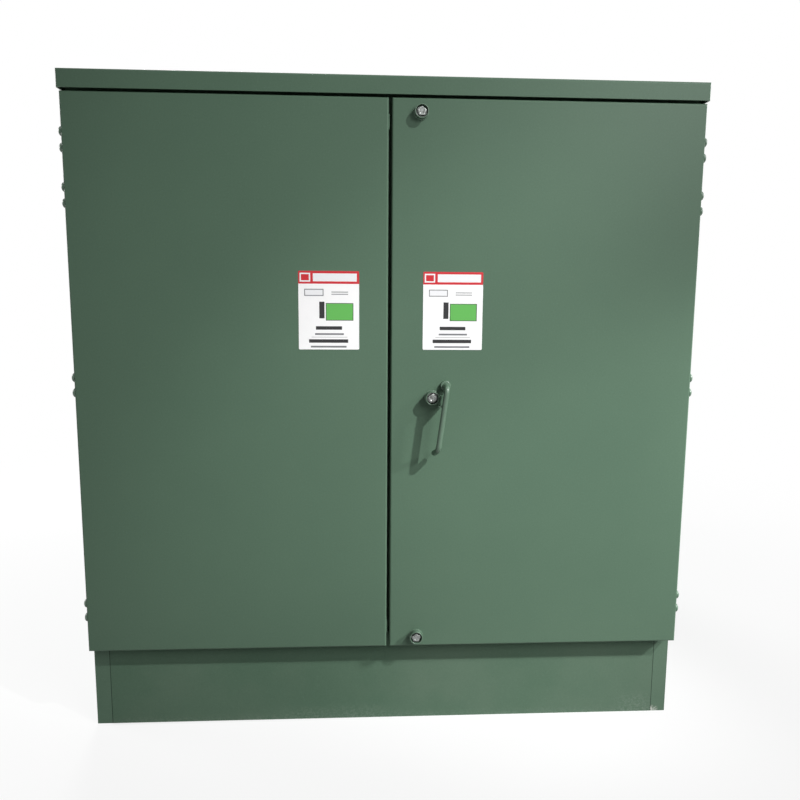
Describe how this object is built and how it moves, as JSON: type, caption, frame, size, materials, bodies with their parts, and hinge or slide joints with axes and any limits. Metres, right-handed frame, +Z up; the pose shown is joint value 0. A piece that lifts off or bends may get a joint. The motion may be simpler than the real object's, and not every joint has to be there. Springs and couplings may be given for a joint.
{
  "type": "pad-mounted power transformer",
  "caption": "Green steel transformer cabinet with folded-pan double doors, bent-rod handle, hood, set-back sill, oil tank behind and rear radiator panels.",
  "frame": {"origin": "on the ground, on the tank's underside, under the middle of the base's footprint", "axes": "+X right when facing the doors, +Y away from the doors towards the radiators, +Z up"},
  "size_m": [1.566, 1.688, 1.5957],
  "materials": {
    "tank_paint": "semi-gloss dull green paint",
    "cabinet_paint": "semi-gloss dull green paint",
    "door_paint": "semi-gloss dull green paint",
    "handle_paint": "semi-gloss dull green paint, worn",
    "zinc_steel": "zinc plated",
    "core_steel": "laminated sheet steel",
    "coil": "varnished conductor with paper",
    "cap_rubber": "matte moulded rubber",
    "porcelain": "glazed grey",
    "tinned_copper": "tinned, satin",
    "gauge_case": "cast, satin",
    "valve_brass": "cast, dull"
  },
  "bodies": {
    "root": {"anchor_brackets": "cabinet_paint", "cabinet_header": "cabinet_paint", "cabinet_left_side": "cabinet_paint", "cabinet_right_side": "cabinet_paint", "compartment_barrier": "cabinet_paint", "core": "core_steel", "drain_valve": "valve_brass", "gauges": "gauge_case", "ground_pads": "zinc_steel", "handhole_cover": "tank_paint", "hood": "cabinet_paint", "hv_bushings": "cap_rubber", "left_hinge_fixed_leaves": "cabinet_paint", "lifting_lugs": "tank_paint", "lv_bushings": "porcelain", "lv_spades": "tinned_copper", "parking_stands": "cabinet_paint", "radiator_headers": "tank_paint", "radiator_panels_left": "tank_paint", "radiator_panels_right": "tank_paint", "right_hinge_fixed_leaves": "cabinet_paint", "sill_panel": "cabinet_paint", "tank_cover": "tank_paint", "tank_floor": "tank_paint", "tank_front_wall": "tank_paint", "tank_left_wall": "tank_paint", "tank_rear_wall": "tank_paint", "tank_right_wall": "tank_paint", "tap_changer": "gauge_case", "windings": "coil"},
    "left_door": {"left_door_panel": "door_paint", "left_door_stiffener": "door_paint", "left_door_hinge_leaves": "door_paint", "left_door_tabs": "door_paint", "left_door_stay_bracket": "door_paint"},
    "right_door": {"right_door_panel": "door_paint", "right_door_stiffener": "door_paint", "right_door_hinge_leaves": "door_paint", "right_door_stay_bracket": "door_paint", "penta_guards": "door_paint", "penta_bolts": "zinc_steel", "handle_collar": "door_paint", "latch_guides": "door_paint"},
    "handle": {"door_handle": "handle_paint", "latch_cam": "zinc_steel"},
    "upper_rod": {"upper_latch_rod": "zinc_steel"},
    "lower_rod": {"lower_latch_rod": "zinc_steel"}
  },
  "joints": [
    {"name": "left_door_hinge", "type": "hinge", "parent": "root", "child": "left_door", "pos_m": [-0.72, -0.617, 0.855], "axis": [0, 0, -1], "range_deg": [0, 120]},
    {"name": "right_door_hinge", "type": "hinge", "parent": "root", "child": "right_door", "pos_m": [0.72, -0.617, 0.855], "axis": [0, 0, 1], "range_deg": [0, 120]},
    {"name": "handle_turn", "type": "hinge", "parent": "right_door", "child": "handle", "pos_m": [0.132, -0.65, 0.8555], "axis": [0, -1, 0], "range_deg": [0, 90]},
    {"name": "upper_rod_slide", "type": "slide", "parent": "right_door", "child": "upper_rod", "axis": [0, 0, -1], "range_m": [0, 0.04263]},
    {"name": "lower_rod_slide", "type": "slide", "parent": "right_door", "child": "lower_rod", "axis": [0, 0, 1], "range_m": [0, 0.04263]}
  ],
  "couplings": [
    {"joint": "upper_rod_slide", "follows": "handle_turn", "m_per_rad": 0.027009},
    {"joint": "lower_rod_slide", "follows": "handle_turn", "m_per_rad": 0.027009}
  ]
}
